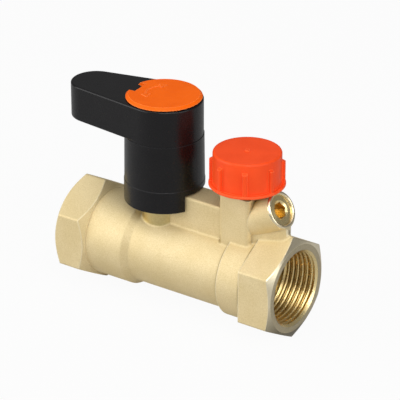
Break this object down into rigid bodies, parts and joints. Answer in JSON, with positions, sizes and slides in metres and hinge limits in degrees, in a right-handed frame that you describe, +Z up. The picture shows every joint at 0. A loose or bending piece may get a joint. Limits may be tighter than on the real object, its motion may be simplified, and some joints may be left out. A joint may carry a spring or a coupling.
{
  "type": "isolating valve",
  "caption": "Brass quarter-turn ball valve with female hex pipe ends, a tall black lever handle with an orange cover, and a capped drain outlet beside a slanted drain screw.",
  "frame": {"origin": "centre of the ball, where the pipe's centre line crosses the stem axis", "axes": "+X along the pipe towards the drain end, +Z up the stem towards the handle, +Y across the pipe"},
  "size_m": [0.088, 0.032, 0.0751],
  "materials": {
    "blasted_brass": "shot-blasted",
    "turned_brass": "machined",
    "plated_ball": "polished",
    "seat_plastic": "smooth",
    "seal_rubber": "matte",
    "black_plastic": "satin",
    "orange_plastic": "satin",
    "red_plastic": "satin",
    "screw_steel": "zinc-plated"
  },
  "bodies": {
    "valve": {"valve_body": "blasted_brass", "end_connector": "blasted_brass", "connector_o_ring": "seal_rubber", "inlet_seat": "seat_plastic", "outlet_seat": "seat_plastic"},
    "handle": {"handle_lever": "black_plastic", "handle_neck": "black_plastic", "handle_cover": "orange_plastic", "handle_screw": "screw_steel", "screw_washer": "screw_steel", "stem": "turned_brass", "stem_thrust_washer": "seat_plastic", "stem_o_ring_lower": "seal_rubber", "stem_o_ring_upper": "seal_rubber", "ball": "plated_ball"},
    "cap_seal": {"drain_cap_gasket": "seal_rubber"},
    "cap": {"drain_cap": "red_plastic"},
    "tip_seal": {"spindle_tip_seal": "seal_rubber"},
    "spindle": {"drain_spindle": "turned_brass", "spindle_o_ring": "seal_rubber"}
  },
  "joints": [
    {"name": "handle_turn", "type": "hinge", "parent": "valve", "child": "handle", "pos_m": [0, 0, 0], "axis": [0, 0, 1], "range_deg": [-90, 0]},
    {"name": "cap_lift", "type": "slide", "parent": "valve", "child": "cap_seal", "axis": [0, 0, 1], "range_m": [0, 0.00726]},
    {"name": "cap_turn", "type": "hinge", "parent": "cap_seal", "child": "cap", "pos_m": [0.03315, 0, 0.042], "axis": [0, 0, 1], "range_deg": [0, 1440]},
    {"name": "spindle_lift", "type": "slide", "parent": "valve", "child": "tip_seal", "axis": [0.8712, 0, 0.4909], "range_m": [0, 0.002]},
    {"name": "spindle_turn", "type": "hinge", "parent": "tip_seal", "child": "spindle", "pos_m": [0.04639, 0, 0.02683], "axis": [0.8712, 0, 0.4909], "range_deg": [0, 720]}
  ],
  "couplings": [
    {"joint": "cap_turn", "follows": "cap_lift", "rad_per_m": 3463.7},
    {"joint": "spindle_turn", "follows": "spindle_lift", "rad_per_m": 6283.2}
  ]
}
